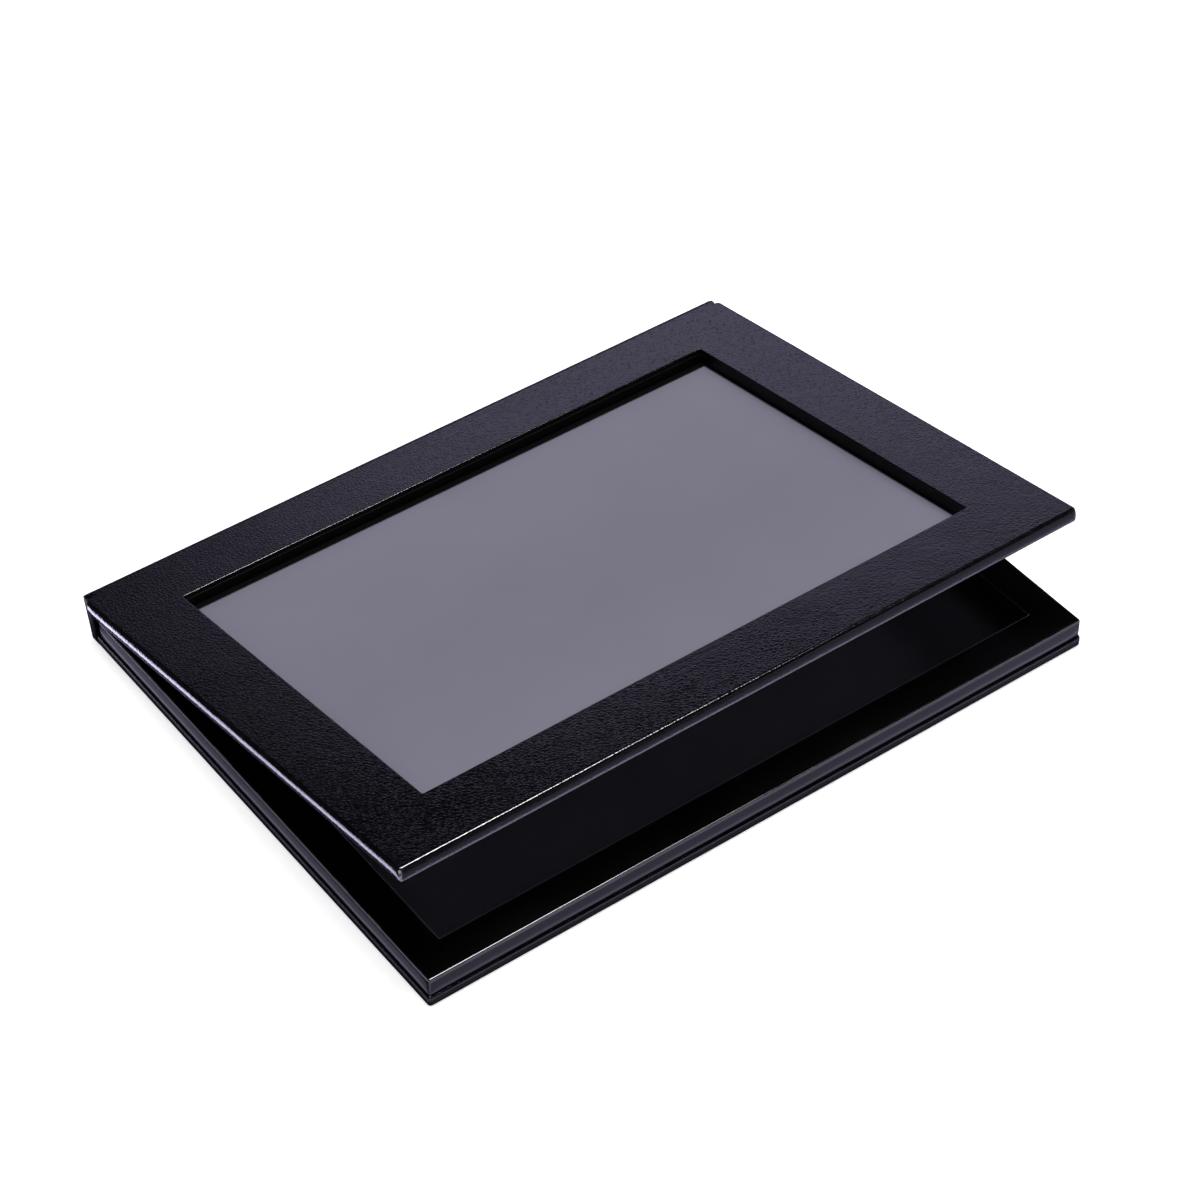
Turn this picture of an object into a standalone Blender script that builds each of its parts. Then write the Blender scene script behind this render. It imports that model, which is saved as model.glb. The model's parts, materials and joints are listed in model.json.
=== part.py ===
"""Magnetic makeup palette: a windowed book case of paper-wrapped board round a shallow tray.

Metres, +Z up. The origin is the centre of the base's underside. +X runs along the long side,
and the palette opens at its front, which faces -Y. Every piece is drawn where it lies in the
closed palette. The spine and the lid then swing open together about the spine's lower fold.
"""
from math import atan2, radians, sqrt

import bmesh
import bpy
from mathutils import Vector

# Base and lid outlines
BASE_LENGTH = 0.1620
BASE_DEPTH = 0.1200
LID_OVERHANG = 0.0010
LID_SETBACK = 0.0025

# Boards and sheets
BASE_BOARD_THICKNESS = 0.0020
LID_BOARD_THICKNESS = 0.0028
SPINE_BOARD_THICKNESS = 0.0015
WRAP_THICKNESS = 0.0002
LINING_THICKNESS = 0.00015
GLUE_LINE = 0.00005
BOARD_EDGE_ROUND = 0.0004
EDGE_SEGMENTS = 3

# Turned-in paper, its mitred corners, and the linings that cover it
TURN_IN_WIDTH = 0.0120
LID_TURN_IN_WIDTH = 0.0050
MITRE_GAP = 0.0002
LINING_INSET = 0.0015
HINGE_LINING_INSET = 0.0140
HINGE_LINING_LAP = 0.0030
LINING_BUTT_GAP = 0.0003

# Spine and its two folds
SPINE_CLEARANCE = 0.0004
SPINE_END_CLEARANCE = 0.0001
FOLD_ROUND_SHARE = 0.8

# Tray
TRAY_INSET = 0.0003
TRAY_RIM_WIDTH = 0.0077
TRAY_BOARD_HEIGHT = 0.0040
TRAY_BUTT_GAP = 0.0003
MAGNETIC_SHEET_THICKNESS = 0.0006
FLOOR_LINING_THICKNESS = 0.0001
FLOOR_CLEARANCE = 0.0002

# Lid
CLOSED_GAP = 0.0002
WINDOW_BORDER = 0.0159
WINDOW_LINING_SETBACK = 0.0008
FILM_THICKNESS = 0.00025
FILM_INSET = 0.0030

# Closing magnets
MAGNET_LENGTH = 0.0200
MAGNET_SPACING = 0.0900
MAGNET_WIDTH_SHARE = 0.60
MAGNET_THICKNESS_SHARE = 0.50
MAGNET_CLEARANCE = 0.00005

# How far the lid and the spine stand open
REST_ANGLE = radians(10.5)

# How far a cutter runs past the face that it opens
CUT_OVERRUN = 0.0010

# Faces that meet at less than this lie in one plane
FLAT_ANGLE = radians(1.0)

# Share of a box's shortest side by which a hole is first drawn in from its edges
HOLE_START_SHARE = 0.25

# Share of a box's half size within which a corner counts as lying on a side
ON_SIDE_SHARE = 0.001

# Heights in the closed palette, from the base's underside up
BASE_BOARD_LOW = WRAP_THICKNESS + GLUE_LINE
BASE_BOARD_HIGH = BASE_BOARD_LOW + BASE_BOARD_THICKNESS
BASE_WRAP_HIGH = BASE_BOARD_HIGH + GLUE_LINE + WRAP_THICKNESS
BASE_LINING_LOW = BASE_WRAP_HIGH + GLUE_LINE
BASE_LINING_HIGH = BASE_LINING_LOW + LINING_THICKNESS
TRAY_LOW = BASE_LINING_HIGH + GLUE_LINE
TRAY_BOARD_HIGH = TRAY_LOW + TRAY_BOARD_HEIGHT
TRAY_HIGH = TRAY_BOARD_HIGH + GLUE_LINE + WRAP_THICKNESS
LID_LOW = TRAY_HIGH + CLOSED_GAP
FILM_LOW = LID_LOW + LINING_THICKNESS + GLUE_LINE
LID_WRAP_LOW = FILM_LOW + FILM_THICKNESS + GLUE_LINE
LID_BOARD_LOW = LID_WRAP_LOW + WRAP_THICKNESS + GLUE_LINE
LID_BOARD_HIGH = LID_BOARD_LOW + LID_BOARD_THICKNESS
LID_HIGH = LID_BOARD_HIGH + GLUE_LINE + WRAP_THICKNESS

# Places along the depth, from the front to the spine's outer face
BASE_FRONT = -BASE_DEPTH / 2
BASE_REAR = BASE_DEPTH / 2
LID_FRONT = BASE_FRONT + LID_SETBACK
SPINE_LINING_FRONT = BASE_REAR + SPINE_CLEARANCE
SPINE_WRAP_FRONT = SPINE_LINING_FRONT + LINING_THICKNESS + GLUE_LINE
SPINE_BOARD_FRONT = SPINE_WRAP_FRONT + WRAP_THICKNESS + GLUE_LINE
SPINE_BOARD_REAR = SPINE_BOARD_FRONT + SPINE_BOARD_THICKNESS
SPINE_REAR = SPINE_BOARD_REAR + GLUE_LINE + WRAP_THICKNESS

# Places along the length
BASE_HALF = BASE_LENGTH / 2
LID_HALF = BASE_HALF + LID_OVERHANG

# The folds run along X in the middle of the paper, at the spine's two outer corners
LOWER_FOLD = Vector((0, SPINE_REAR - WRAP_THICKNESS / 2, WRAP_THICKNESS / 2))
UPPER_FOLD = Vector((0, SPINE_REAR - WRAP_THICKNESS / 2, LID_HIGH - WRAP_THICKNESS / 2))

# How far a board's face lies inside the paper's outer face, and the paper's two edge radii
SKIN = WRAP_THICKNESS + GLUE_LINE
WRAP_INNER_ROUND = BOARD_EDGE_ROUND + GLUE_LINE
WRAP_OUTER_ROUND = WRAP_INNER_ROUND + WRAP_THICKNESS

# Sides of a box whose edges stay sharp
LEFT_SIDE = "-x"
RIGHT_SIDE = "+x"
FRONT_SIDE = "-y"
REAR_SIDE = "+y"
UNDERSIDE = "-z"
TOP_SIDE = "+z"

# Colour, roughness and metallic value of each stuff
LEATHER_PAPER = ((0.013, 0.013, 0.016), 0.38, 0.0)
SMOOTH_PAPER = ((0.017, 0.016, 0.020), 0.42, 0.0)
GREYBOARD = ((0.27, 0.25, 0.22), 0.90, 0.0)
MAGNETIC_RUBBER = ((0.030, 0.026, 0.024), 0.65, 0.0)
CLEAR_FILM = ((0.75, 0.75, 0.80), 0.05, 0.0)
MAGNET_METAL = ((0.55, 0.55, 0.56), 0.30, 1.0)


def clear_scene():
    """Remove whatever the file opened with."""
    for item in list(bpy.data.objects):
        bpy.data.objects.remove(item, do_unlink=True)


def new_collection(name):
    """A collection under the scene's own."""
    collection = bpy.data.collections.new(name)
    bpy.context.scene.collection.children.link(collection)
    return collection


def new_pivot(name, point, parent_pivot=None):
    """An empty on a fold's axis. It carries the pieces that swing about that fold."""
    pivot = bpy.data.objects.new(name, None)
    pivot["closed_point"] = point
    PIECES.objects.link(pivot)
    hang(pivot, point, parent_pivot)
    return pivot


def hang(item, point, pivot):
    """Put an object at a point of the closed palette, under a pivot or in the world."""
    if pivot is None:
        item.location = point
    else:
        item.parent = pivot
        item.location = point - Vector(pivot["closed_point"])


def new_material(name, stuff):
    """A Principled material for one piece."""
    colour, roughness, metallic = stuff
    material = bpy.data.materials.new(name)
    material.use_nodes = True
    material.diffuse_color = (*colour, 1.0)
    shader = material.node_tree.nodes["Principled BSDF"]
    shader.inputs["Base Color"].default_value = (*colour, 1.0)
    shader.inputs["Roughness"].default_value = roughness
    shader.inputs["Metallic"].default_value = metallic
    return material


def cut_hole(shape, size, hole):
    """Open a rectangular hole down through a box. The hole is (low x, high x, low y, high y)."""
    caps = [face for face in shape.faces if abs(face.normal.z) > max(abs(face.normal.x), abs(face.normal.y))]
    bmesh.ops.inset_individual(shape, faces=caps, thickness=min(size) * HOLE_START_SHARE)
    rims = []
    for cap in caps:
        for vert in cap.verts:
            vert.co.x = hole[1] if vert.co.x > 0 else hole[0]
            vert.co.y = hole[3] if vert.co.y > 0 else hole[2]
        rims.extend(cap.edges)
    bmesh.ops.delete(shape, geom=caps, context="FACES_ONLY")
    bmesh.ops.bridge_loops(shape, edges=rims)


def weigh_edges(shape, size, sharp_sides):
    """Mark each corner edge for rounding, but for those that lie on a side that stays sharp."""
    weight = shape.edges.layers.float.new("bevel_weight_edge")
    for edge in shape.edges:
        sharp = edge.calc_face_angle() < FLAT_ANGLE
        for sign, axis_name in sharp_sides:
            axis = "xyz".index(axis_name)
            direction = 1 if sign == "+" else -1
            reach = size[axis] / 2
            near = [abs(vert.co[axis] * direction - reach) < reach * ON_SIDE_SHARE for vert in edge.verts]
            sharp = sharp or all(near)
        edge[weight] = 0.0 if sharp else 1.0


def add_box(name, low, high, pivot=None, hole=None, radius=0, sharp_sides=(), stuff=None):
    """A box between two corners of the closed palette, round-edged and holed where asked.

    With no stuff it is a cutter.
    """
    low, high = Vector(low), Vector(high)
    middle, size = (low + high) / 2, high - low
    shape = bmesh.new()
    bmesh.ops.create_cube(shape, size=1.0)
    for vert in shape.verts:
        vert.co = Vector(part * whole for part, whole in zip(vert.co, size))
    shape.normal_update()
    if hole:
        left, right, front, rear = hole
        cut_hole(shape, size, (left - middle.x, right - middle.x, front - middle.y, rear - middle.y))
    bmesh.ops.recalc_face_normals(shape, faces=shape.faces)
    if radius:
        weigh_edges(shape, size, sharp_sides)
    mesh = bpy.data.meshes.new(name)
    shape.to_mesh(mesh)
    shape.free()
    piece = bpy.data.objects.new(name, mesh)
    hang(piece, middle, pivot)
    if stuff is None:
        CUTTERS.objects.link(piece)
        piece.hide_render = True
        piece.display_type = "WIRE"
    else:
        PIECES.objects.link(piece)
        mesh.materials.append(new_material(name, stuff))
    if radius:
        bevel = piece.modifiers.new("rounded_edges", "BEVEL")
        bevel.limit_method = "WEIGHT"
        bevel.width = radius
        bevel.segments = EDGE_SEGMENTS
        bevel.use_clamp_overlap = False
    return piece


def cut(piece, *cutters):
    """Take some cutters' shapes out of a piece, all in one Boolean."""
    group = bpy.data.collections.new("cutters_of_" + piece.name)
    CUTTERS.children.link(group)
    for cutter in cutters:
        CUTTERS.objects.unlink(cutter)
        group.objects.link(cutter)
    change = piece.modifiers.new("cuts", "BOOLEAN")
    change.operation = "DIFFERENCE"
    change.solver = "EXACT"
    change.operand_type = "COLLECTION"
    change.collection = group


def diagonal_cutter(name, corner, heading, start, stop, half_width, low, high, pivot=None):
    """A cutter along a corner's diagonal, between two distances that are measured along the sides.

    The heading is the diagonal's direction, as a sign along X and a sign along Y.
    """
    middle_x = corner[0] + heading[0] * (start + stop) / 2
    middle_y = corner[1] + heading[1] * (start + stop) / 2
    half_length = (stop - start) / 2 * sqrt(2)
    cutter = add_box(
        name, (middle_x - half_length, middle_y - half_width, low),
        (middle_x + half_length, middle_y + half_width, high), pivot)
    cutter.rotation_euler.z = atan2(heading[1], heading[0])
    return cutter


def add_folded_sheet(name, outline, half_length, thickness, pivot, stuff):
    """A sheet that runs along X and is folded along the points (y, z) of its middle surface."""
    start = Vector((0, *outline[0]))
    shape = bmesh.new()
    verts = [shape.verts.new(Vector((-half_length, y, z)) - start) for y, z in outline]
    edges = [shape.edges.new(pair) for pair in zip(verts, verts[1:])]
    swept = bmesh.ops.extrude_edge_only(shape, edges=edges)["geom"]
    far = [item for item in swept if isinstance(item, bmesh.types.BMVert)]
    bmesh.ops.translate(shape, verts=far, vec=(2 * half_length, 0, 0))
    mesh = bpy.data.meshes.new(name)
    shape.to_mesh(mesh)
    shape.free()
    piece = bpy.data.objects.new(name, mesh)
    hang(piece, start, pivot)
    PIECES.objects.link(piece)
    mesh.materials.append(new_material(name, stuff))
    shell = piece.modifiers.new("paper", "SOLIDIFY")
    shell.thickness = thickness
    shell.offset = 0
    shell.use_even_offset = True
    return piece


def magnet_places():
    """The closing magnets' centre lines: their middles along X, their Y and their width."""
    lid_edge = LID_FRONT + SKIN
    tray_edge = BASE_FRONT + TRAY_INSET + TRAY_RIM_WIDTH - SKIN
    width = (tray_edge - lid_edge) * MAGNET_WIDTH_SHARE
    return (-MAGNET_SPACING / 2, MAGNET_SPACING / 2), (lid_edge + tray_edge) / 2, width


def add_magnets(board, prefix, face, inward, pivot):
    """Two bar magnets, each in a pocket sunk into the face of a board at height face."""
    middles, across, width = magnet_places()
    thickness = LID_BOARD_THICKNESS * MAGNET_THICKNESS_SHARE
    pockets = []
    for side, along in zip(("left", "right"), middles):
        reach = Vector((MAGNET_LENGTH / 2, width / 2, 0))
        near = Vector((along, across, face + inward * MAGNET_CLEARANCE))
        far = near + Vector((0, 0, inward * thickness))
        low, high = (near, far) if inward > 0 else (far, near)
        low, high = low - reach, high + reach
        add_box(prefix + "_magnet_" + side, low, high, pivot, stuff=MAGNET_METAL)
        room = Vector((MAGNET_CLEARANCE, MAGNET_CLEARANCE, MAGNET_CLEARANCE))
        mouth = Vector((0, 0, CUT_OVERRUN))
        pocket_low = low - room - (mouth if inward > 0 else Vector())
        pocket_high = high + room + (mouth if inward < 0 else Vector())
        pockets.append(add_box(prefix + "_magnet_pocket_" + side, pocket_low, pocket_high, pivot))
    cut(board, *pockets)


def add_base():
    """The base board in its leather-grain wrap, with the lining that covers the turn-ins."""
    board_half = BASE_HALF - SKIN
    add_box(
        "base_board", (-board_half, BASE_FRONT + SKIN, BASE_BOARD_LOW),
        (board_half, BASE_REAR, BASE_BOARD_HIGH),
        radius=BOARD_EDGE_ROUND, sharp_sides=(REAR_SIDE,), stuff=GREYBOARD)
    wrap = add_box(
        "base_wrap", (-BASE_HALF, BASE_FRONT, 0), (BASE_HALF, BASE_REAR, BASE_WRAP_HIGH),
        radius=WRAP_OUTER_ROUND, sharp_sides=(REAR_SIDE,), stuff=LEATHER_PAPER)
    room_half = BASE_HALF - WRAP_THICKNESS
    room = add_box(
        "base_board_room", (-room_half, BASE_FRONT + WRAP_THICKNESS, WRAP_THICKNESS),
        (room_half, BASE_REAR + CUT_OVERRUN, BASE_WRAP_HIGH - WRAP_THICKNESS),
        radius=WRAP_INNER_ROUND, sharp_sides=(REAR_SIDE,))
    mouth_half = BASE_HALF - TURN_IN_WIDTH
    mouth_low, mouth_high = BASE_BOARD_LOW + BASE_BOARD_THICKNESS / 2, BASE_WRAP_HIGH + CUT_OVERRUN
    mouth = add_box(
        "base_turn_in_mouth", (-mouth_half, BASE_FRONT + TURN_IN_WIDTH, mouth_low),
        (mouth_half, BASE_REAR + CUT_OVERRUN, mouth_high))
    mitres = [
        diagonal_cutter(
            "base_mitre_" + side, (sign * BASE_HALF, BASE_FRONT), (-sign, 1),
            WRAP_OUTER_ROUND, TURN_IN_WIDTH + MITRE_GAP, MITRE_GAP / 2, mouth_low, mouth_high)
        for side, sign in (("left", -1), ("right", 1))]
    cut(wrap, room, mouth, *mitres)
    lining_half = BASE_HALF - LINING_INSET
    add_box(
        "base_lining", (-lining_half, BASE_FRONT + LINING_INSET, BASE_LINING_LOW),
        (lining_half, BASE_REAR - HINGE_LINING_LAP - LINING_BUTT_GAP, BASE_LINING_HIGH), stuff=SMOOTH_PAPER)


def add_tray():
    """The tray: four board strips under one wrap, round a magnetic floor."""
    outer_x, outer_y = BASE_HALF - TRAY_INSET, BASE_DEPTH / 2 - TRAY_INSET
    inner_x, inner_y = outer_x - TRAY_RIM_WIDTH, outer_y - TRAY_RIM_WIDTH
    wrap = add_box(
        "tray_wrap", (-outer_x, -outer_y, TRAY_LOW), (outer_x, outer_y, TRAY_HIGH),
        hole=(-inner_x, inner_x, -inner_y, inner_y),
        radius=WRAP_OUTER_ROUND, sharp_sides=(UNDERSIDE,), stuff=SMOOTH_PAPER)
    room_x, room_y = outer_x - WRAP_THICKNESS, outer_y - WRAP_THICKNESS
    core_x, core_y = inner_x + WRAP_THICKNESS, inner_y + WRAP_THICKNESS
    room = add_box(
        "tray_board_room", (-room_x, -room_y, TRAY_LOW - CUT_OVERRUN),
        (room_x, room_y, TRAY_HIGH - WRAP_THICKNESS),
        hole=(-core_x, core_x, -core_y, core_y),
        radius=WRAP_INNER_ROUND, sharp_sides=(UNDERSIDE,))
    cut(wrap, room)

    far_x, far_y = outer_x - SKIN, outer_y - SKIN
    near_x, near_y = inner_x + SKIN, inner_y + SKIN
    front = add_box(
        "tray_wall_front", (-far_x, -far_y, TRAY_LOW), (far_x, -near_y, TRAY_BOARD_HIGH),
        radius=BOARD_EDGE_ROUND, sharp_sides=(UNDERSIDE,), stuff=GREYBOARD)
    add_box(
        "tray_wall_rear", (-far_x, near_y, TRAY_LOW), (far_x, far_y, TRAY_BOARD_HIGH),
        radius=BOARD_EDGE_ROUND, sharp_sides=(UNDERSIDE,), stuff=GREYBOARD)
    side_y = near_y - TRAY_BUTT_GAP
    for side, low_x, high_x in (("left", -far_x, -near_x), ("right", near_x, far_x)):
        add_box(
            "tray_wall_" + side, (low_x, -side_y, TRAY_LOW), (high_x, side_y, TRAY_BOARD_HIGH),
            radius=BOARD_EDGE_ROUND, sharp_sides=(UNDERSIDE, FRONT_SIDE, REAR_SIDE), stuff=GREYBOARD)
    add_magnets(front, "tray", TRAY_BOARD_HIGH, -1, None)

    floor_x, floor_y = inner_x - FLOOR_CLEARANCE, inner_y - FLOOR_CLEARANCE
    sheet_high = TRAY_LOW + MAGNETIC_SHEET_THICKNESS
    add_box(
        "magnetic_sheet", (-floor_x, -floor_y, TRAY_LOW), (floor_x, floor_y, sheet_high),
        stuff=MAGNETIC_RUBBER)
    lining_low = sheet_high + GLUE_LINE
    add_box(
        "floor_lining", (-floor_x, -floor_y, lining_low),
        (floor_x, floor_y, lining_low + FLOOR_LINING_THICKNESS), stuff=SMOOTH_PAPER)


def add_spine(pivot):
    """The spine board, wrapped round its two short ends and lined inside."""
    end_gap = SKIN + LINING_THICKNESS + SPINE_END_CLEARANCE
    board_half = BASE_HALF - SKIN
    add_box(
        "spine_board", (-board_half, SPINE_BOARD_FRONT, end_gap),
        (board_half, SPINE_BOARD_REAR, LID_HIGH - end_gap),
        pivot, radius=BOARD_EDGE_ROUND, sharp_sides=(UNDERSIDE, TOP_SIDE), stuff=GREYBOARD)
    wrap = add_box(
        "spine_wrap", (-BASE_HALF, SPINE_WRAP_FRONT, SKIN), (BASE_HALF, SPINE_REAR, LID_HIGH - SKIN),
        pivot, radius=WRAP_OUTER_ROUND, sharp_sides=(UNDERSIDE, TOP_SIDE), stuff=LEATHER_PAPER)
    room_half = BASE_HALF - WRAP_THICKNESS
    room = add_box(
        "spine_board_room", (-room_half, SPINE_WRAP_FRONT + WRAP_THICKNESS, -CUT_OVERRUN),
        (room_half, SPINE_REAR - WRAP_THICKNESS, LID_HIGH + CUT_OVERRUN),
        pivot, radius=WRAP_INNER_ROUND, sharp_sides=(UNDERSIDE, TOP_SIDE))
    mouth_half = BASE_HALF - TURN_IN_WIDTH
    mouth = add_box(
        "spine_turn_in_mouth", (-mouth_half, SPINE_WRAP_FRONT - CUT_OVERRUN, -CUT_OVERRUN),
        (mouth_half, (SPINE_BOARD_FRONT + SPINE_BOARD_REAR) / 2, LID_HIGH + CUT_OVERRUN), pivot)
    cut(wrap, room, mouth)
    lining_half = BASE_HALF - LINING_INSET
    add_box(
        "spine_lining", (-lining_half, SPINE_LINING_FRONT, end_gap),
        (lining_half, SPINE_LINING_FRONT + LINING_THICKNESS, LID_HIGH - end_gap), pivot, stuff=SMOOTH_PAPER)


def add_hinge_papers(lid_pivot):
    """The wrap's two strips that reach the folds, and the lining that backs each of them."""
    strip_front = BASE_REAR + GLUE_LINE
    round_end = WRAP_THICKNESS / 2 * FOLD_ROUND_SHARE
    sheets = (
        ("lower_hinge_strip", BASE_HALF, 0, None, (FRONT_SIDE, LEFT_SIDE, RIGHT_SIDE)),
        ("upper_hinge_strip", LID_HALF, LID_HIGH - WRAP_THICKNESS, lid_pivot,
         (FRONT_SIDE, LEFT_SIDE, RIGHT_SIDE)))
    for name, half, low, pivot, sharp_sides in sheets:
        add_box(
            name, (-half, strip_front, low), (half, SPINE_REAR, low + WRAP_THICKNESS),
            pivot, radius=round_end, sharp_sides=sharp_sides, stuff=LEATHER_PAPER)

    half = BASE_HALF - HINGE_LINING_INSET
    lap_front = BASE_REAR - HINGE_LINING_LAP
    rise = BASE_REAR + GLUE_LINE + LINING_THICKNESS / 2
    strip_end = SPINE_REAR - SKIN - LINING_THICKNESS
    middle = SKIN + LINING_THICKNESS / 2
    base_level = BASE_LINING_LOW + LINING_THICKNESS / 2
    lid_level = LID_LOW + LINING_THICKNESS / 2
    lid_middle = LID_HIGH - middle
    add_folded_sheet(
        "lower_hinge_lining",
        ((lap_front, base_level), (rise, base_level), (rise, middle), (strip_end, middle)),
        half, LINING_THICKNESS, None, SMOOTH_PAPER)
    add_folded_sheet(
        "upper_hinge_lining",
        ((lap_front, lid_level), (rise, lid_level), (rise, lid_middle), (strip_end, lid_middle)),
        half, LINING_THICKNESS, lid_pivot, SMOOTH_PAPER)


def window_opening(grow):
    """The lid's window, larger by grow on every side, as (low x, high x, low y, high y)."""
    half = LID_HALF - WINDOW_BORDER + grow
    return (-half, half, LID_FRONT + WINDOW_BORDER - grow, SPINE_REAR - WINDOW_BORDER + grow)


def add_lid(pivot):
    """The lid's board frame, wrapped round its edges and its window, with film and lining.

    The wrap is turned in underneath: mitred at the lid's corners, and round the window as four
    flaps whose ends slope back from the window's corners.
    """
    board_half = LID_HALF - SKIN
    board = add_box(
        "lid_board", (-board_half, LID_FRONT + SKIN, LID_BOARD_LOW), (board_half, BASE_REAR, LID_BOARD_HIGH),
        pivot, hole=window_opening(SKIN), radius=BOARD_EDGE_ROUND, sharp_sides=(REAR_SIDE,), stuff=GREYBOARD)
    add_magnets(board, "lid", LID_BOARD_LOW, 1, pivot)

    wrap = add_box(
        "lid_wrap", (-LID_HALF, LID_FRONT, LID_WRAP_LOW), (LID_HALF, BASE_REAR, LID_HIGH),
        pivot, hole=window_opening(0), radius=WRAP_OUTER_ROUND, sharp_sides=(REAR_SIDE,),
        stuff=LEATHER_PAPER)
    room_half = LID_HALF - WRAP_THICKNESS
    room = add_box(
        "lid_board_room", (-room_half, LID_FRONT + WRAP_THICKNESS, LID_WRAP_LOW + WRAP_THICKNESS),
        (room_half, BASE_REAR + CUT_OVERRUN, LID_HIGH - WRAP_THICKNESS),
        pivot, hole=window_opening(WRAP_THICKNESS), radius=WRAP_INNER_ROUND, sharp_sides=(REAR_SIDE,))
    mouth_half = LID_HALF - LID_TURN_IN_WIDTH
    mouth_low, mouth_high = LID_WRAP_LOW - CUT_OVERRUN, LID_BOARD_LOW + LID_BOARD_THICKNESS / 2
    mouth = add_box(
        "lid_turn_in_mouth", (-mouth_half, LID_FRONT + LID_TURN_IN_WIDTH, mouth_low),
        (mouth_half, BASE_REAR + CUT_OVERRUN, mouth_high), pivot, hole=window_opening(LID_TURN_IN_WIDTH))
    mitres = []
    left, right, front, rear = window_opening(0)
    for side, sign, window_x in (("left", -1, left), ("right", 1, right)):
        mitres.append(diagonal_cutter(
            "lid_mitre_" + side, (sign * LID_HALF, LID_FRONT), (-sign, 1), WRAP_OUTER_ROUND,
            LID_TURN_IN_WIDTH + MITRE_GAP, MITRE_GAP / 2, mouth_low, mouth_high, pivot))
        for end, end_sign, window_y in (("front", -1, front), ("rear", 1, rear)):
            mitres.append(diagonal_cutter(
                "window_corner_" + end + "_" + side, (window_x, window_y), (sign, end_sign),
                WRAP_OUTER_ROUND, LID_TURN_IN_WIDTH + WRAP_OUTER_ROUND, LID_TURN_IN_WIDTH * sqrt(2),
                mouth_low, mouth_high, pivot))
    cut(wrap, room, mouth, *mitres)

    film_half = LID_HALF - FILM_INSET
    add_box(
        "window_film", (-film_half, LID_FRONT + FILM_INSET, FILM_LOW),
        (film_half, BASE_REAR - FILM_INSET, FILM_LOW + FILM_THICKNESS), pivot, stuff=CLEAR_FILM)
    lining_half = LID_HALF - LINING_INSET
    add_box(
        "lid_lining", (-lining_half, LID_FRONT + LINING_INSET, LID_LOW),
        (lining_half, BASE_REAR - HINGE_LINING_LAP - LINING_BUTT_GAP, LID_LOW + LINING_THICKNESS),
        pivot, hole=window_opening(WINDOW_LINING_SETBACK), stuff=SMOOTH_PAPER)


clear_scene()
PIECES = new_collection("magnetic_makeup_palette")
CUTTERS = new_collection("cutters")
spine_pivot = new_pivot("spine_fold_axis", LOWER_FOLD)
lid_pivot = new_pivot("lid_fold_axis", UPPER_FOLD, spine_pivot)
add_base()
add_tray()
add_spine(spine_pivot)
add_hinge_papers(lid_pivot)
add_lid(lid_pivot)
spine_pivot.rotation_euler.x = -REST_ANGLE
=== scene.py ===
"""Looks of the magnetic makeup palette: its papers, its window film, the studio and the camera.

Metres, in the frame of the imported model. The papers are drawn in the closed palette and then
turned with the lid and the spine to where these stand at rest.
"""

import json
from functools import cache
from math import copysign, cos, inf, pi, radians, sin

import bmesh
import bpy
from mathutils import Matrix, Vector, noise

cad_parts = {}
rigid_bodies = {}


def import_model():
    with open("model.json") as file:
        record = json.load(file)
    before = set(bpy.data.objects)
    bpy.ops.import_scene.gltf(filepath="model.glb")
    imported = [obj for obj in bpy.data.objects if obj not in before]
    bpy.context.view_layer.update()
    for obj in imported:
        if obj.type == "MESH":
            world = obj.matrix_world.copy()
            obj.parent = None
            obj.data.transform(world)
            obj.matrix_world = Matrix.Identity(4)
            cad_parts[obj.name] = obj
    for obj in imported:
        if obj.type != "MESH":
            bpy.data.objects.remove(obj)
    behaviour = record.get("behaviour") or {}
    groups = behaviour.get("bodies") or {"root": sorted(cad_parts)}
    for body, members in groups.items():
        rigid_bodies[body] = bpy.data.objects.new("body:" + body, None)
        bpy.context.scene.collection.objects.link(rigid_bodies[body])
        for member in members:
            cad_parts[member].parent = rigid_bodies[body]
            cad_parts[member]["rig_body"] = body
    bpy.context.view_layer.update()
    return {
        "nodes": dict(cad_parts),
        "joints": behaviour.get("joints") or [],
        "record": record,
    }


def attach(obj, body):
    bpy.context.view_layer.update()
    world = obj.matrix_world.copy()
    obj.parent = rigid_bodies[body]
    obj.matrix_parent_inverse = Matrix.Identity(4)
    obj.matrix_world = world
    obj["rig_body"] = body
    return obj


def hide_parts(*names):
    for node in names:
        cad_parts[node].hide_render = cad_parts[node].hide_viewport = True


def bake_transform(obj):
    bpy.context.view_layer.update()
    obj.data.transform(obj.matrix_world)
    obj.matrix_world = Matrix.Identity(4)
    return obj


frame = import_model()

# Camera: where it looks from, in degrees, how far off it stands, how far it is shifted, and its lens
CAMERA_AZIMUTH = -36.513
CAMERA_ELEVATION = 43.519
CAMERA_DISTANCE = 0.70923
CAMERA_RIGHT = 0.00214
CAMERA_UP = 0.00919
CAMERA_CLIP = 0.01
LENS_MM = 103.667
SENSOR_MM = 36.0

# Papers: thickness, the rounds of their bends, and how they wander, as pairs of amount and size
PAPER = 0.0002
EDGE_ROUND = 0.00050
CORNER_ROUND = 0.00085
REAR_CORNER_ROUND = 0.00005
WALL_BULGE = 0.00005
WALL_SHARES = (0.08, 0.3, 0.5, 0.7, 0.92)
REAR_SKIN = 0.00002
SIDE_LAP = 0.0001
SIDE_LIFT = 0.000004
SUPPORT = 0.00015
LID_WANDER = ((0.000018, 0.008), (0.00003, 0.030))
BASE_WANDER = ((0.00002, 0.006),)
TRAY_WANDER = ((0.00003, 0.007),)
WANDER_SHIFTS = (Vector(), Vector((7.3, 1.9, 4.1)), Vector((2.7, 8.6, 5.5)))
CALM_REACH = 0.004
FLAT_BEND = radians(5.0)
FULL_BEND = radians(8.0)
SHARP_BEND = radians(40.0)

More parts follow.
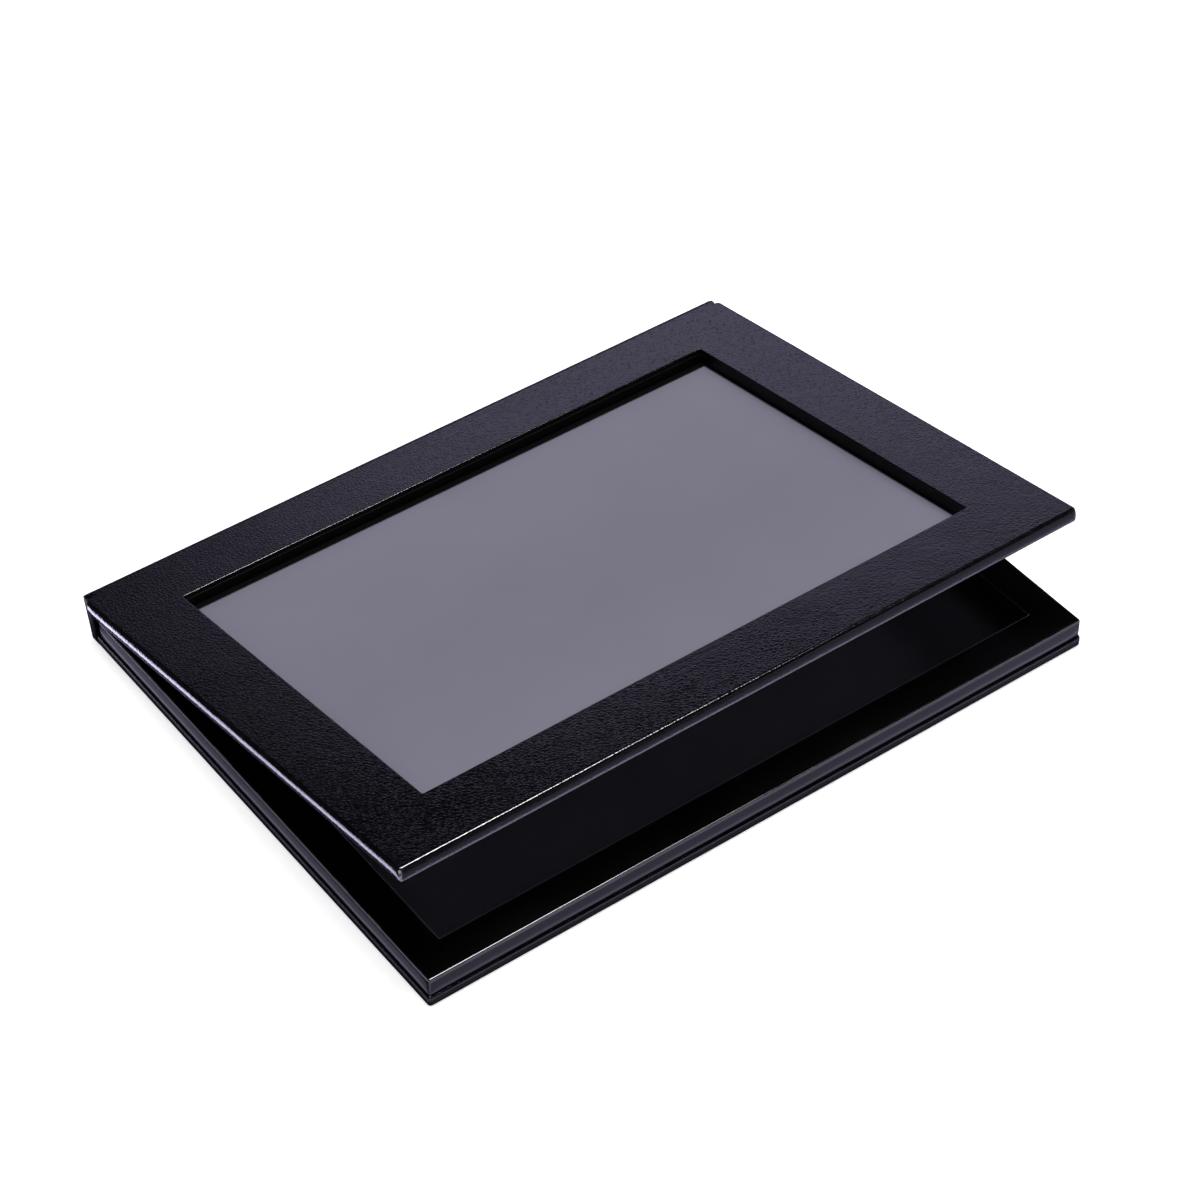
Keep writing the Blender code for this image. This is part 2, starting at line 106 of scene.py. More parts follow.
# Lid and window
LID_EDGE_ROUND = 0.00050
LID_FOOT_ROUND = 0.00060
LID_BULGE = 0.00028
LID_REAR_ROUND = 0.00120
LID_CORNER_ROUND = 0.00110
LID_TURN_IN = 0.0050
PAPER_FIT = 0.99975
WINDOW_BORDER = 0.0159
WINDOW_EDGE_ROUND = 0.00022
WINDOW_FOOT_ROUND = 0.00030
WINDOW_CORNER_ROUND = 0.00012
WALL_TOP_SHARE = 0.20
LEDGE_DEPTH = 0.0011
LEDGE_WIDTH = 0.00005
LEDGE_FALL = 0.00002
# Margin of painted shade on the film: its width at the rear and the sides, its fade, the steps across the
# fade, and its extra width underneath
MARGIN_REAR = 0.0016
MARGIN_SIDE = 0.0003
MARGIN_FADE = 0.0005
MARGIN_STEPS = (5, 1, 0)
UNDERSIDE_MARGIN = 0.0014
BOARD_END_INSET = 0.00115

# Base, tray, spine and folds
BASE_TURN_IN = 0.0120
TRAY_FOOT_ROUND = 0.00035
TRAY_RIM_WIDTH = 0.0077
TRAY_INNER_ROUND = 0.00025
RIM_REACH = 0.0002
# Share of the tray's edge round that carries the painted highlight along its front and left top edges
PAINTED_HIGHLIGHT_SHARE = 0.6
SPINE_TURN_IN = 0.0120
SPINE_END_SHARE = 0.8
FOLD_ROUND = 0.0007
UPPER_FOLD_REACH = 0.0016
FOLD_MARGIN = 1.2
SIDE_REACH = 0.0004
LINING_STAND = 0.00008
LINING = 0.00007
HINGE_LINING = 0.00015
HINGE_RISE = 0.0002
HINGE_WING_END = 0.00035
HINGE_STRIP_END = 0.0012

# Fineness of the meshes
CORNER_STEPS = 6
EDGE_STEPS = 8
LONG_STEPS = 72
SHORT_STEPS = 54
TOP_STEPS = 10
RIM_STEPS = 4
FOLD_FLAT_STEPS = 6
FOLD_STEPS = 16
SPINE_STEPS = 8
SPINE_LINING_STEPS = 10

# Where the noises that mottle the stuffs start and end, and how their edges are rubbed
NOISE_LOW, NOISE_HIGH = 0.3, 0.7
RUBBED_PATCHES = (0.42, 0.66, 0.0, 1.0)
LEAST_RUBBED = 0.005
RUBBED_TINT = (1.0, 0.98, 1.1)
BLUER = 1.2

# Leather grain: scales per metre of its noises, their shares of its height, and how pebbles shine
WOBBLE_SCALE, WOBBLE = 900.0, 0.0006
CELL_SCALE, CELL_SPAN = 1350.0, (0.0, 0.32, 0.0, 1.0)
WRINKLE_SCALE, FINE_SCALE, BROAD_SCALE = 640.0, 4200.0, 38.0
PEBBLE_SHARE, WRINKLE_SHARE, FINE_SHARE = 0.62, 0.62, 0.04
PEBBLE_GLOSS = 0.02

# Smooth stuffs: share of the fibres in the height, spreads of the roughness, and how the film's colour
# changes from place to place and rises towards the rear as painted light against the rear wall's shade
FIBRE_SHARE = 0.25
SMOOTH_SPREAD, PLAIN_SPREAD = 0.02, 0.05
FILM_SHARES = (0.985, 1.015)
FILM_LIGHT_RISE = (0.0, 0.046, 1.0, 1.13)

# Studio: the floor as the eye sees it, and the edges that its mirrored levels are measured from
FLOOR_REACH = 4.0
FLOOR_GLOW = 0.55
FLOOR_MIRRORED = (0.295, 0.280, 0.395)
BASE_LEFT = -0.0812
BASE_FRONT = -0.0602
LID_LEFT = -0.0820
CARD_NARROW = 0.01058
CARD_SPREAD = 0.0937

# Mirrored levels by the distance beyond an edge of the base, in mm: the low ones next to the base are painted
# shade, the high ones painted light
LEVEL_REACH = 30.0
LEVEL_TOP = 10.0
BESIDE_LEVELS = ((0.0, 0.06), (0.1, 0.12), (0.78, 0.12), (0.90, 2.5), (1.08, 2.5), (1.25, 0.88),
                 (2.8, 0.85), (3.3, 0.08))
BEFORE_LEVELS = ((0.0, 0.08), (0.3, 0.35), (0.8, 0.46), (1.4, 0.50), (1.55, 2.2), (1.9, 2.2),
                 (2.2, 1.1), (3.0, 1.0), (4.6, 1.05), (26.0, 1.0))

# Spans of the floor: from a place, to a place, and the level at each
BESIDE_END = (0.0615, 0.0655, 1.0, 0.08)
CARD_RISE = (0.98, 1.16, 0.0, 13.0)
CARD_FALL = (1.9, 2.3, 1.0, 0.0)
BEHIND_RISE = (0.0630, 0.0660, 0.0, 1.0)
BEHIND_START = (-0.070, -0.060, 0.0, 1.0)
FAR_LEFT = (BASE_LEFT - 0.008, BASE_LEFT - 0.004, 0.05, 0.0)
FAR_RIGHT = (0.0815, 0.0840, 0.1, 1.0)
FOOT_RISE = (BASE_FRONT - 0.005, BASE_FRONT - 0.007, 0.0, 4.0)
FOOT_FALL = (BASE_FRONT - 0.026, BASE_FRONT - 0.020, 0.0, 1.0)
FOOT_SIDE = (0.01, 0.10, 1.0, 0.35)
FRONT_END = (-0.19, -0.12, 0.10, 1.25)
CORNER_SIDE = (BASE_LEFT - 0.0006, BASE_LEFT, 3.2, 0.0)
CORNER_FRONT = (BASE_FRONT - 0.0010, BASE_FRONT, 1.0, 0.0)
CORNER_END = (-0.078, -0.070, 0.0, 1.0)
HINGE_END = (0.02, 0.065, 1.0, 1.5)
RIGHT_END = (0.02, 0.10, 1.0, 1.3)

# Sky that is mirrored: a bright band by its height, which slopes across, and a card behind the camera
BACKDROP_END = radians(66.0)
BACKDROP_SLOPE = 0.11
BACKDROP_MIDDLE = 0.151
SKY_STOPS = ((0.05, (0.04, 0.038, 0.054)), (0.25, (0.04, 0.038, 0.054)), (0.325, (0.79, 0.75, 1.10)),
             (0.41, (0.78, 0.74, 1.09)), (0.435, (0.66, 0.63, 0.93)), (0.452, (0.05, 0.047, 0.068)),
             (0.466, (0.002, 0.002, 0.003)))
SKY_SIDE = (-0.06, 0.09, 1.0, 0.06)
SKY_FRONT = (0.0, 0.3, 0.08, 1.0)
REAR_CARD_COLOUR = (1.0, 0.95, 1.35)
REAR_CARD_MIDDLE = 0.44
REAR_CARD_FRONT = (-0.35, -0.10, 1.0, 0.0)
REAR_CARD_SIDE = (0.12, 0.24, 0.0, 1.0)
REAR_CARD_RISE = (0.12, 0.45, 0.0, 0.45)

spine_fold = frame["joints"][0]
fold_point = Vector(spine_fold["pos_m"])
opening = radians(-spine_fold["range_deg"][0])


def spine_turn(angle):
    """A turn about the fold between the base and the spine."""
    return (Matrix.Translation(fold_point) @ Matrix.Rotation(angle, 4, Vector(spine_fold["axis"]))
            @ Matrix.Translation(-fold_point))


TO_REST = spine_turn(opening)
TO_CLOSED = TO_REST.inverted()


def clamped(value):
    """A value kept between 0 and 1."""
    return min(max(value, 0.0), 1.0)


def quarter(steps, start=0.0):
    """The angles along a quarter turn."""
    return [start + pi / 2 * step / steps for step in range(steps + 1)]


def spread(low, high, steps):
    """Values spread evenly from one to another."""
    return [low + (high - low) * step / steps for step in range(steps + 1)]


def within(point, low, high, grow):
    """Whether a point is inside a rectangle that is larger by grow on every side."""
    return low.x - grow < point.x < high.x + grow and low.y - grow < point.y < high.y + grow


@cache
def closed_box(name):
    """A node's lowest and highest corners in the closed palette."""
    item = frame["nodes"][name]
    turn = Matrix.Identity(4) if item["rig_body"] == "base" else TO_CLOSED
    points = [turn @ vert.co for vert in item.data.vertices]
    low = Vector([min(point[axis] for point in points) for axis in range(3)])
    high = Vector([max(point[axis] for point in points) for axis in range(3)])
    return low, high


def window_corners():
    """The window's two outermost corners, seen from above."""
    low, high = closed_box("lid_wrap")
    rear = closed_box("spine_wrap")[1].y
    return (Vector((low.x + WINDOW_BORDER, low.y + WINDOW_BORDER)),
            Vector((high.x - WINDOW_BORDER, rear - WINDOW_BORDER)))


def rectangle_loop(low, high, front_round, rear_round):
    """Points round a rectangle with rounded corners, from its front left corner anticlockwise."""
    corners = (
        (low[0] + front_round, low[1] + front_round, front_round, pi),
        (high[0] - front_round, low[1] + front_round, front_round, pi * 1.5),
        (high[0] - rear_round, high[1] - rear_round, rear_round, 0.0),
        (low[0] + rear_round, high[1] - rear_round, rear_round, pi / 2))
    points = []
    for index, (x, y, radius, start) in enumerate(corners):
        points += [Vector((x + radius * cos(angle), y + radius * sin(angle)))
                   for angle in quarter(CORNER_STEPS, start)]
        next_x, next_y, next_radius, next_start = corners[(index + 1) % 4]
        first = points[-1]
        last = Vector((next_x + next_radius * cos(next_start), next_y + next_radius * sin(next_start)))
        steps = SHORT_STEPS if index % 2 else LONG_STEPS
        points += [first.lerp(last, step / steps) for step in range(1, steps)]
    return points


def with_height(loop, height):
    """A flat loop lifted to a height."""
    return [Vector((point.x, point.y, height)) for point in loop]


def outer_loop(low, high, inset, height, rear_open, corner=CORNER_ROUND, rear_corner=REAR_CORNER_ROUND):
    """A loop round a board, drawn in by an inset. An open rear stays at the hinge."""
    rear = REAR_SKIN * (1 - inset / BASE_TURN_IN) if rear_open else -inset
    front_round = max(corner - inset, REAR_CORNER_ROUND)
    rear_round = max(rear_corner - inset, REAR_CORNER_ROUND) if rear_open else front_round
    loop = rectangle_loop(
        (low.x + inset, low.y + inset), (high.x - inset, high.y + rear), front_round, rear_round)
    return with_height(loop, height)


def window_loop(low, high, grow, height):
    """A loop round the window, larger by grow on every side."""
    radius = WINDOW_CORNER_ROUND + max(grow, 0)
    loop = rectangle_loop((low.x - grow, low.y - grow), (high.x + grow, high.y + grow), radius, radius)
    return with_height(loop, height)


def margin_loop(low, high, inset, height):
    """A loop along the film's margin of painted shade, which is widest at the rear."""
    side, rear = MARGIN_SIDE + inset, MARGIN_REAR + inset
    loop = rectangle_loop((low.x + side, low.y + side), (high.x - side, high.y - rear),
                          WINDOW_CORNER_ROUND, WINDOW_CORNER_ROUND)
    return with_height(loop, height)


def between(first, last, steps):
    """Loops spread evenly between two others."""
    return [[a.lerp(b, step / steps) for a, b in zip(first, last)] for step in range(1, steps)]


def edge_profile(low, high, low_round, high_round, bulge):
    """An edge's section from its foot up, as pairs of inset and height."""
    pairs = [(0.0, low)]
    if low_round:
        pairs = [(low_round * (1 - sin(angle)), low + low_round * (1 - cos(angle)))
                 for angle in quarter(EDGE_STEPS)]
    wall_low, wall_high = low + low_round, high - high_round
    pairs += [(0.0, wall_low + (wall_high - wall_low) * share) for share in WALL_SHARES]
    pairs += [(high_round * (1 - cos(angle)), high - high_round * (1 - sin(angle)))
              for angle in quarter(EDGE_STEPS)]
    middle, reach = (low + high) / 2, (high - low) / 2
    return [(inset + bulge * ((height - middle) / reach) ** 2, height) for inset, height in pairs]


def wandered(point, wander, share=1.0):
    """A point moved by a smooth wander, always the same at the same place."""
    moved = point.copy()
    for amount, size in wander:
        moved += Vector([noise.noise(point / size + shift) for shift in WANDER_SHIFTS]) * amount * share
    return moved


def wandering(loops, wander, calm_rear=inf):
    """Loops whose points wander, but less and less near a calm rear edge."""
    return [[wandered(point, wander, clamped((calm_rear - point.y) / CALM_REACH)) for point in loop]
            for loop in loops]


def new_mesh(name, shape):
    """A mesh of a shape, without the points that belong to no face."""
    loose = [vert for vert in shape.verts if not vert.link_faces]
    bmesh.ops.delete(shape, geom=loose, context="VERTS")
    mesh = bpy.data.meshes.new(name)
    shape.to_mesh(mesh)
    shape.free()
    return mesh


def mesh_of_rows(name, rows, closed=False, cap_start=False, cap_end=False, left_out=None):
    """A mesh that joins each row of points to the next, without the faces that left_out picks."""
    shape = bmesh.new()
    grid = [[shape.verts.new(point) for point in row] for row in rows]
    for index, (first, second) in enumerate(zip(grid, grid[1:])):
        if closed:
            first, second = first + first[:1], second + second[:1]
        for column, quad in enumerate(zip(first, first[1:], second[1:], second)):
            if not (left_out and left_out(index, column)):
                shape.faces.new(quad)
    if cap_start:
        shape.faces.new(grid[0][::-1])
    if cap_end:
        shape.faces.new(grid[-1])
    return new_mesh(name, shape)


def mesh_of_section(name, section, across, left_out=None):
    """A mesh that carries a section of (y, z) points along x."""
    rows = [[Vector((x, y, z)) for x in across] for y, z in section]
    return mesh_of_rows(name, rows, left_out=left_out)


def store(mesh, name, values):
    """Store a value at each point of a mesh."""
    mesh.attributes.new(name, "FLOAT", "POINT").data.foreach_set("value", values)


def mark_edges(mesh):
    """Store how strongly the surface bends outward at each point, from 0 to 1."""
    shape = bmesh.new()
    shape.from_mesh(mesh)
    bends = [0.0] * len(shape.verts)
    for edge in shape.edges:
        if len(edge.link_faces) == 2:
            bend = clamped((edge.calc_face_angle_signed(0) - FLAT_BEND) / FULL_BEND)
            for vert in edge.verts:
                bends[vert.index] = max(bends[vert.index], bend)
    shape.free()
    store(mesh, "edge", bends)


def finish_piece(name, mesh, body, replaced, materials, turn=None, thickness=0.0):
    """Turn a mesh into a piece of paper that rides on its body and stands for a node."""
    if turn:
        mesh.transform(turn)
    mark_edges(mesh)
    mesh.shade_smooth()
    mesh.set_sharp_from_angle(angle=SHARP_BEND)
    for material in materials:
        mesh.materials.append(material)
    piece = bpy.data.objects.new(name, mesh)
    bpy.context.scene.collection.objects.link(piece)
    if thickness:
        shell = piece.modifiers.new("paper", "SOLIDIFY")
        shell.thickness = thickness
        shell.offset = -1
        shell.use_rim = True
    if body:
        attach(piece, body)
    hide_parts(*replaced)
    return piece


def add_lid_cover(*materials):
    """The grained paper round the lid board, turned in round its edges and its window.

    The materials are the paper and the window's cut edge.
    """
    low, high = closed_box("lid_wrap")
    window_low, window_high = window_corners()
    outside = [(LID_TURN_IN, low.z), (LID_FOOT_ROUND + LID_BULGE + SUPPORT, low.z)]
    outside += edge_profile(low.z, high.z, LID_FOOT_ROUND, LID_EDGE_ROUND, LID_BULGE)
    outside.append((LID_EDGE_ROUND + SUPPORT + LID_BULGE, high.z))
    loops = [outer_loop(low, high, inset, height, True, LID_CORNER_ROUND, LID_REAR_ROUND)
             for inset, height in outside]
    ledge = high.z - LEDGE_DEPTH
    profile = edge_profile(low.z, high.z, WINDOW_FOOT_ROUND, WINDOW_EDGE_ROUND, 0.0)
    profile = [(inset, height) for inset, height in profile if abs(height - ledge) > SUPPORT]
    profile += [(0.0, ledge - LEDGE_FALL), (LEDGE_WIDTH, ledge), (LEDGE_WIDTH, ledge + LEDGE_FALL)]
    inside = [(WINDOW_EDGE_ROUND + LEDGE_WIDTH + SUPPORT, high.z)]
    for inset, height in sorted(profile, key=lambda pair: -pair[1]):
        above = LEDGE_WIDTH if height > ledge + LEDGE_FALL else 0.0
        inside.append((inset + above, height))
    inside += [(WINDOW_FOOT_ROUND + SUPPORT, low.z), (LID_TURN_IN, low.z)]
    inner = [window_loop(window_low, window_high, grow, height) for grow, height in inside]
    loops += between(loops[-1], inner[0], TOP_STEPS) + inner
    mesh = mesh_of_rows("lid_cover", wandering(loops, LID_WANDER, high.y), closed=True)
    mesh.transform(Matrix.Scale(PAPER_FIT, 4))
    wall_top = LEDGE_WIDTH + WINDOW_EDGE_ROUND * WALL_TOP_SHARE
    for face in mesh.polygons:
        if face.center.z > low.z and within(face.center, window_low, window_high, wall_top):
            face.material_index = 1
    finish_piece("lid_cover", mesh, "lid", ["lid_wrap"], materials, TO_REST, PAPER)


def add_base_cover(*materials):
    """The grained paper round the base board."""
    low, high = closed_box("base_wrap")
    insets = (BASE_TURN_IN, EDGE_ROUND + SUPPORT)
    section = [(inset, high.z) for inset in insets]
    section += reversed(edge_profile(low.z, high.z, EDGE_ROUND, EDGE_ROUND, WALL_BULGE))
    section += [(inset, low.z) for inset in reversed(insets)]
    loops = [outer_loop(low, high, inset, height, True) for inset, height in section]
    mesh = mesh_of_rows("base_cover", wandering(loops, BASE_WANDER, high.y), closed=True, cap_end=True)
    mesh.transform(Matrix.Scale(PAPER_FIT, 4))
    for vert in mesh.vertices:
        vert.co.z = max(vert.co.z, 0)
    mesh.flip_normals()
    finish_piece("base_cover", mesh, "base", ["base_wrap"], materials, None, PAPER)


def add_tray_cover(*materials):
    """The smooth paper round the tray's walls, from their outer feet over the rim to the floor.

    The materials are the paper, a painted highlight along its inner rim on all but the right side, and a
    painted highlight along its front and left outer top edges.
    """
    low, high = closed_box("tray_wrap")
    inner_low = Vector((low.x + TRAY_RIM_WIDTH, low.y + TRAY_RIM_WIDTH))
    inner_high = Vector((high.x - TRAY_RIM_WIDTH, high.y - TRAY_RIM_WIDTH))
    outside = [(TRAY_FOOT_ROUND + SUPPORT, low.z)]
    outside += edge_profile(low.z, high.z, TRAY_FOOT_ROUND, EDGE_ROUND, WALL_BULGE)
    outside.append((EDGE_ROUND + SUPPORT + WALL_BULGE, high.z))
    inside = [(TRAY_INNER_ROUND + SUPPORT, high.z)]
    inside += reversed(edge_profile(low.z, high.z, 0.0, TRAY_INNER_ROUND, 0.0))
    loops = [outer_loop(low, high, inset, height, False) for inset, height in outside]
    inner = [window_loop(inner_low, inner_high, grow, height) for grow, height in inside]
    loops += between(loops[-1], inner[0], RIM_STEPS) + inner
    mesh = mesh_of_rows("tray_cover", wandering(loops, TRAY_WANDER), closed=True)
    wear_and_highlight = EDGE_ROUND * PAINTED_HIGHLIGHT_SHARE
    for face in mesh.polygons:
        x, y, z = face.center
        # Painted highlight: the inner rim's top edge on the lit sides, all but the right one, gets a far
        # lighter paper
        lit = x < inner_high.x - RIM_REACH * 2 or y < inner_low.y + RIM_REACH * 2
        if lit and high.z - EDGE_ROUND < z and within(face.center, inner_low, inner_high, RIM_REACH):
            face.material_index = 1
        # Painted highlight: the front and left outer top edges get a far lighter paper
        if min(x - low.x, y - low.y) < wear_and_highlight and high.z - wear_and_highlight < z:
            face.material_index = 2
    finish_piece("tray_cover", mesh, "base", ["tray_wrap"], materials, None, PAPER)


def add_window_sheet(*materials):
    """The film behind the window. Its margin of painted shade is an attribute and, on top, a material.

    The materials are the film's upper face, its underside and the matt black of the margin's painted shade on
    top.
    """
    low, high = closed_box("window_film")
    window_low, window_high = window_corners()
    outline = rectangle_loop(low, high, REAR_CORNER_ROUND, REAR_CORNER_ROUND)
    sides = []
    for height, extra in ((low.z, UNDERSIDE_MARGIN), (high.z, 0.0)):
        sides.append([margin_loop(window_low, window_high, extra + MARGIN_FADE * share, height)
                      for share in MARGIN_STEPS])
        sides[-1].append(window_loop(window_low, window_high, SUPPORT, height))
        sides[-1].append(with_height(outline, height))
    loops = sides[0] + sides[1][::-1]
    mesh = mesh_of_rows("window_sheet", loops, closed=True, cap_start=True, cap_end=True)
    count, last = len(loops[0]), len(loops) - 1
    in_margin = [1 < row < last - 1 for row in range(len(loops))]
    store(mesh, "margin", [float(dark) for dark in in_margin for _ in range(count)])
    top_margin = range(len(sides[0]) * count, (last - 1) * count)
    for face in mesh.polygons:
        if face.center.z < (low.z + high.z) / 2:
            face.material_index = 1
        # The margin's top faces take the matt black of the painted shade
        elif all(index in top_margin for index in face.vertices):
            face.material_index = 2
    finish_piece("window_sheet", mesh, "lid", ["window_film"], materials, TO_REST)


def fold_path(lower):
    """The fold's outer line in section: along the cover, round the corner and up the spine.

    Each entry is a point (y, z), the outward normal (y, z), and how far along the bend it is.
    """
    lid_high = closed_box("lid_wrap")[1]
    spine_rear = closed_box("spine_wrap")[1].y
    reach = FOLD_ROUND if lower else UPPER_FOLD_REACH
    centre_y = spine_rear - reach
    path = [(y, FOLD_ROUND, 0.0, 1.0, 0.0)
            for y in spread(lid_high.y - SIDE_LAP, centre_y, FOLD_FLAT_STEPS)[:-1]]
    for step, angle in enumerate(quarter(FOLD_STEPS)):
        normal = Vector((sin(angle) / reach, cos(angle) / FOLD_ROUND)).normalized()
        path.append((centre_y + reach * sin(angle), FOLD_ROUND * cos(angle), normal.x, normal.y,
                     step / FOLD_STEPS))
    path.append((spine_rear, -SIDE_LAP, 1.0, 0.0, 1.0))
    base_z, sign = (FOLD_ROUND, -1) if lower else (lid_high.z - FOLD_ROUND, 1)
    return [(y, base_z + sign * z, normal_y, sign * normal_z, share)
            for y, z, normal_y, normal_z, share in path]


def fold_rows(lower, depth):
    """The points at a depth in the fold's paper, row by row along its bend, with rounded ends."""
    cover_half = closed_box("base_wrap")[1].x if lower else closed_box("lid_wrap")[1].x - LID_REAR_ROUND
    spine_half = closed_box("spine_wrap")[1].x
    radius = EDGE_ROUND - depth
    rows = []
    for y, z, normal_y, normal_z, share in fold_path(lower):
        flat = cover_half + (spine_half - cover_half) * share - depth - radius
        arc = [(flat + radius * cos(angle), depth + radius * (1 - sin(angle)))
               for angle in quarter(EDGE_STEPS)]
        across = [(-x, drop) for x, drop in arc]
        across += [(x, depth) for x in spread(-flat, flat, LONG_STEPS)[1:-1]] + arc[::-1]
        rows.append([Vector((x, y + normal_y * (SIDE_LIFT - drop), z + normal_z * (SIDE_LIFT - drop)))
                     for x, drop in across])
    return rows


def fold_ends(lower):
    """Where the bend starts and where it ends, from the first body to the second."""
    lid_top = closed_box("lid_wrap")[1].z
    spine_rear = closed_box("spine_wrap")[1].y
    reach, rise = (FOLD_ROUND if lower else UPPER_FOLD_REACH) * FOLD_MARGIN, FOLD_ROUND * FOLD_MARGIN
    flat = Vector((0, spine_rear - reach, 0 if lower else lid_top))
    upright = Vector((0, spine_rear, rise if lower else lid_top - rise))
    return (flat, upright) if lower else (upright, flat)


def lower_fold_share(point):
    """How far a point of the lower fold turns with the spine, from 0 to 1."""
    start, end = fold_ends(True)
    line = end - start
    share = clamped((point - start).dot(line) / line.length_squared)
    return share * share * (3 - 2 * share)


def add_fold(name, lower, bodies, replaced, *materials):
    """A strip of the grained paper round one of the spine's corners."""
    shape = bmesh.new()
    outer, inner = [[[shape.verts.new(point) for point in row] for row in fold_rows(lower, depth)]
                    for depth in (0.0, PAPER)]
    strips = list(zip(outer, outer[1:])) + list(zip(inner, inner[1:]))
    strips += [(outer[end], inner[end]) for end in (0, -1)]
    strips += [([row[end] for row in outer], [row[end] for row in inner]) for end in (0, -1)]
    for first, second in strips:
        for quad in zip(first, first[1:], second[1:], second):
            shape.faces.new(quad)
    bmesh.ops.recalc_face_normals(shape, faces=shape.faces)
    mesh = new_mesh(name, shape)
    start, end = fold_ends(lower)
    if lower:
        for vert in mesh.vertices:
            vert.co = spine_turn(opening * lower_fold_share(vert.co)) @ vert.co
            vert.co.z = max(vert.co.z, 0)
    else:
        mesh.transform(TO_REST)
        start, end = TO_REST @ start, TO_REST @ end
    piece = finish_piece(name, mesh, None, replaced, materials)
    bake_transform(piece)


def spine_point(x, y, z):
    """A point on the spine's cover, which wanders inward only."""
    moved = wandered(Vector((x, y, z)), BASE_WANDER)
    moved.y = min(moved.y, y)
    return moved


def add_spine_cover(*materials):
    """The grained paper up the spine's outer face, turned in round its two short ends.

    The materials are the paper and its ends.
    """
    low, high = closed_box("spine_wrap")
    lid_top = closed_box("lid_wrap")[1].z
    flat = high.x - EDGE_ROUND
    side = [(high.x - SPINE_TURN_IN, low.y), (flat - SUPPORT, low.y)]
    for centre_y, start in ((low.y + EDGE_ROUND, -pi / 2), (high.y - EDGE_ROUND, 0.0)):
        side += [(flat + EDGE_ROUND * cos(angle), centre_y + EDGE_ROUND * sin(angle))
                 for angle in quarter(EDGE_STEPS, start)]
    middle = [(x, high.y) for x in spread(-flat, flat, LONG_STEPS)[1:-1]]
    across = [(-x, y) for x, y in side] + middle + side[::-1]
    heights = spread(FOLD_ROUND - SIDE_LAP, lid_top - FOLD_ROUND + SIDE_LAP, SPINE_STEPS)
    heights = [EDGE_ROUND / 2, *heights, lid_top - EDGE_ROUND / 2]

    def under_fold(row, column):
        """Whether a face of the first or last row lies where the fold's strip is."""
        outermost = max(across[column][1], across[column + 1][1])
        return row in (0, len(heights) - 2) and outermost > high.y - EDGE_ROUND

    rows = [[spine_point(x, y, z) for x, y in across] for z in heights]
    mesh = mesh_of_rows("spine_cover", rows, left_out=under_fold)
    mesh.flip_normals()
    for face in mesh.polygons:
        face.material_index = int(abs(face.center.x) > high.x - EDGE_ROUND * SPINE_END_SHARE)
    finish_piece(
        "spine_cover", mesh, "spine", ["spine_wrap"], materials, TO_REST, PAPER)


def add_spine_lining(*materials):
    """The smooth lining on the spine's inner face, turned over the spine board's two long edges."""
    low, high = closed_box("spine_lining")
    board_low, board_high = closed_box("spine_board")
    turn = closed_box("spine_wrap")[1].y - SIDE_REACH
    bottom, top = board_low.z - LINING_STAND, board_high.z + LINING_STAND
    section = [(turn, bottom), *((low.y, z) for z in spread(bottom, top, SPINE_LINING_STEPS)), (turn, top)]
    mesh = mesh_of_section("spine_lining_sheet", section, spread(low.x, high.x, LONG_STEPS))
    finish_piece(
        "spine_lining_sheet", mesh, "spine", ["spine_lining"], materials, TO_REST, LINING)


def add_hinge_lining(name, lower, replaced, *materials):
    """The smooth lining behind a fold: as wide as the board's lining on the board, narrower in the fold."""
    low, high = closed_box(replaced)
    wide = closed_box("base_lining" if lower else "lid_lining")[1].x
    rise = closed_box("base_wrap")[1].y + HINGE_RISE
    end = closed_box("spine_wrap")[1].y - HINGE_STRIP_END
    if lower:
        face, strip = high.z, low.z + HINGE_LINING
        wing_end = strip + HINGE_WING_END
    else:
        face, strip = low.z, high.z - HINGE_LINING
        wing_end = strip - HINGE_WING_END
    section = [(low.y, face), (rise, face), (rise, wing_end), (rise, strip), (end, strip)]
    across = [-wide, *spread(low.x, high.x, LONG_STEPS), wide]
    mesh = mesh_of_section(
        name, section, across, lambda row, column: row >= 2 and column in (0, len(across) - 2))
    if lower:
        finish_piece(name, mesh, "base", [replaced], materials, None, HINGE_LINING)
    else:
        mesh.flip_normals()
        finish_piece(name, mesh, "lid", [replaced], materials, TO_REST, HINGE_LINING)


def add_lid_board(*materials):
    """The lid's board, with its two rear corners drawn in under the cover's rounded ones."""
    high = closed_box("lid_board")[1]
    mesh = frame["nodes"]["lid_board"].data.copy()
    mesh.transform(TO_CLOSED)
    for vert in mesh.vertices:
        if vert.co.y > high.y - SUPPORT and abs(vert.co.x) > high.x - BOARD_END_INSET:
            vert.co.x -= copysign(BOARD_END_INSET, vert.co.x)
    mesh.materials.clear()
    finish_piece("lid_board_sheet", mesh, "lid", ["lid_board"], materials, TO_REST)


def add_camera():
    """The photograph's view."""
    azimuth, elevation = radians(CAMERA_AZIMUTH), radians(CAMERA_ELEVATION)
    back = Vector((sin(azimuth) * cos(elevation), -cos(azimuth) * cos(elevation), sin(elevation)))
    right = back.cross(Vector((0, 0, 1))).normalized() * -1
    up = back.cross(right)
    data = bpy.data.cameras.new("photo_camera")
    data.lens = LENS_MM
    data.sensor_width = SENSOR_MM
    data.clip_start = CAMERA_CLIP
    camera = bpy.data.objects.new("photo_camera", data)
    camera.location = back * CAMERA_DISTANCE + right * CAMERA_RIGHT + up * CAMERA_UP
    camera.rotation_euler = back.to_track_quat("Z", "Y").to_euler()
    bpy.context.scene.collection.objects.link(camera)
    bpy.context.scene.camera = camera


